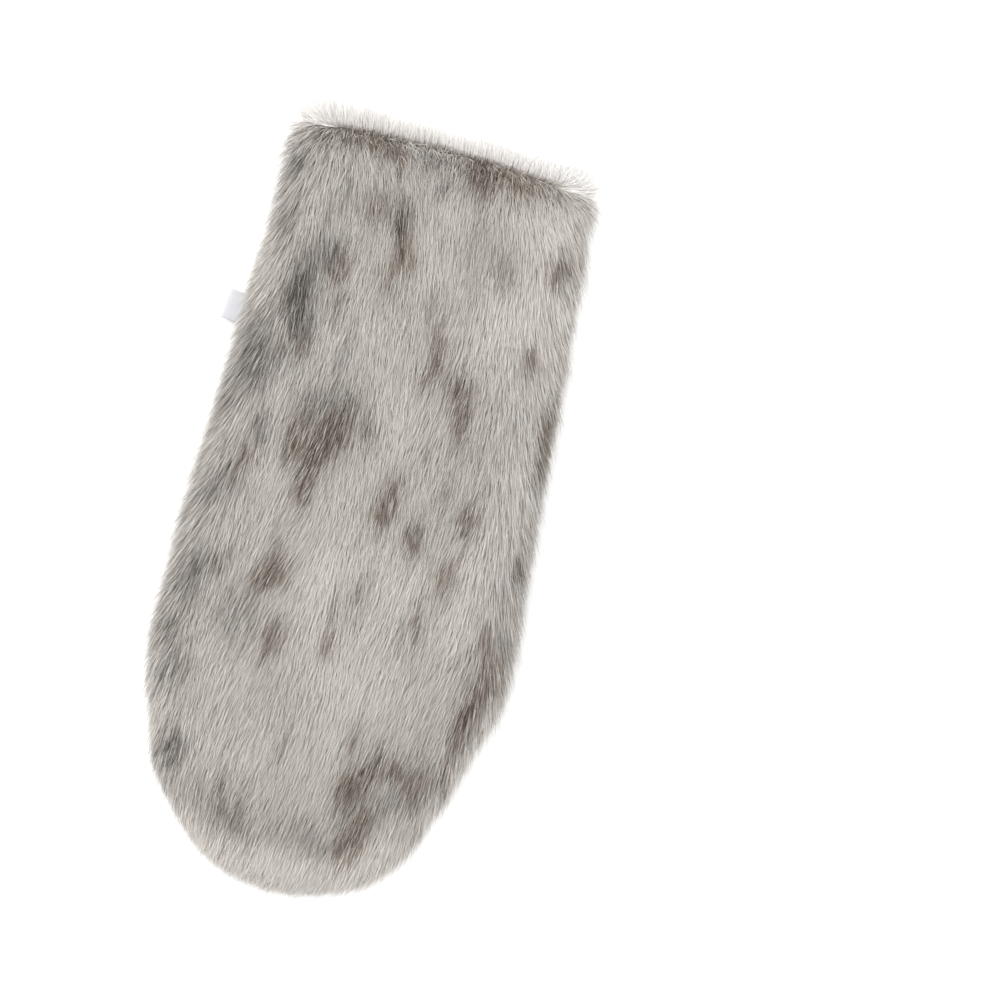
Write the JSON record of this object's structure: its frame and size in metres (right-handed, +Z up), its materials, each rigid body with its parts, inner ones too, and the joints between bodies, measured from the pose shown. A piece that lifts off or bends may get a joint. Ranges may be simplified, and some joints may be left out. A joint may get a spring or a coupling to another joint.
{
  "type": "fur mitten",
  "caption": "Right-hand fur mitten lying palm down: fur back wrapped round the edges, turned-in fur cuff facing, leather palm gathered at the wrist, flat folded leather thumb, side label.",
  "frame": {"origin": "centre of the bounding box's bottom face, on the surface the mitten lies on", "axes": "+Y from the finger tips to the cuff, +Z up, away from the palm, +X to the thumb's side"},
  "size_m": [0.1346, 0.291, 0.036],
  "materials": {
    "fur": "lying seal fur, pale grey-beige with darker spots",
    "facing_fur": "lying seal fur, paler, standing out of the cuff",
    "leather": "black pebbled leather, satin",
    "label": "plain woven tape, pale bluish white"
  },
  "bodies": {
    "root": {"fur_back": "fur", "cuff_fur_facing": "facing_fur", "palm_leather": "leather", "thumb_leather": "leather", "side_label": "label"}
  },
  "joints": []
}
